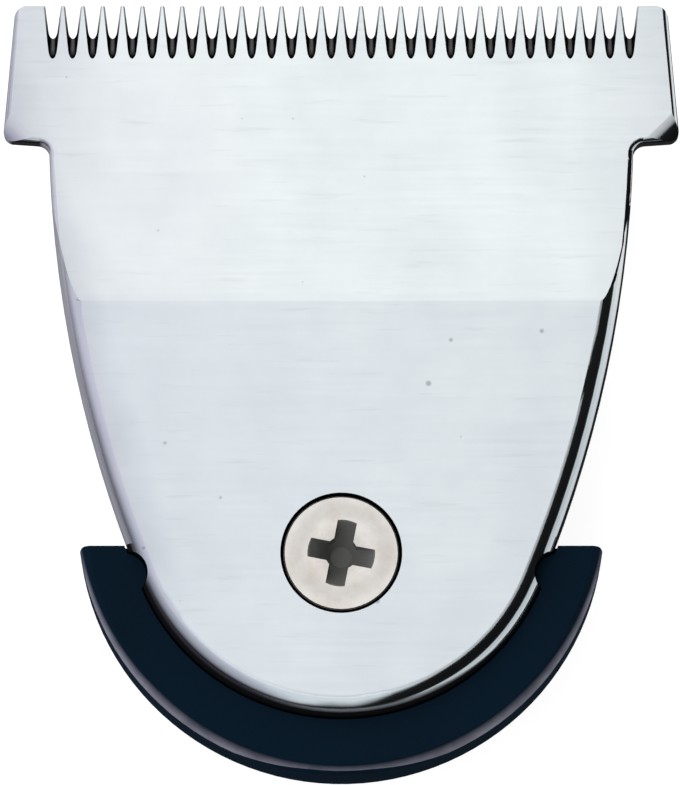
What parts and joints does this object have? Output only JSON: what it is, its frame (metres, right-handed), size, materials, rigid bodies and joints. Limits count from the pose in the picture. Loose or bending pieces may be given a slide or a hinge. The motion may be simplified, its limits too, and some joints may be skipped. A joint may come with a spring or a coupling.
{
  "type": "hair clipper blade",
  "caption": "Clip-on trimmer blade set: T-shaped toothed steel comb screwed to a moulded base with a thumb ledge, and a spring-pressed cutter that slides behind the comb.",
  "frame": {"origin": "middle of the underside of the set's box, on the plane that the base rests on", "axes": "+X along the row of teeth, +Y towards the tooth tips, +Z out of the comb's face"},
  "size_m": [0.0322, 0.0372, 0.0084],
  "materials": {
    "comb_steel": "bright ground",
    "cutter_steel": "ground",
    "yoke_plastic": "moulded",
    "spring_wire": "drawn",
    "base_plastic": "moulded",
    "screw_steel": "nickel plated"
  },
  "bodies": {
    "blade_frame": {"comb_blade": "comb_steel", "base": "base_plastic", "blade_screw": "screw_steel", "tension_spring": "spring_wire"},
    "cutter": {"cutter_blade": "cutter_steel", "drive_yoke": "yoke_plastic"}
  },
  "joints": [
    {"name": "cutter_stroke", "type": "slide", "parent": "blade_frame", "child": "cutter", "axis": [1, 0, 0], "range_m": [-0.001, 0.001]}
  ]
}
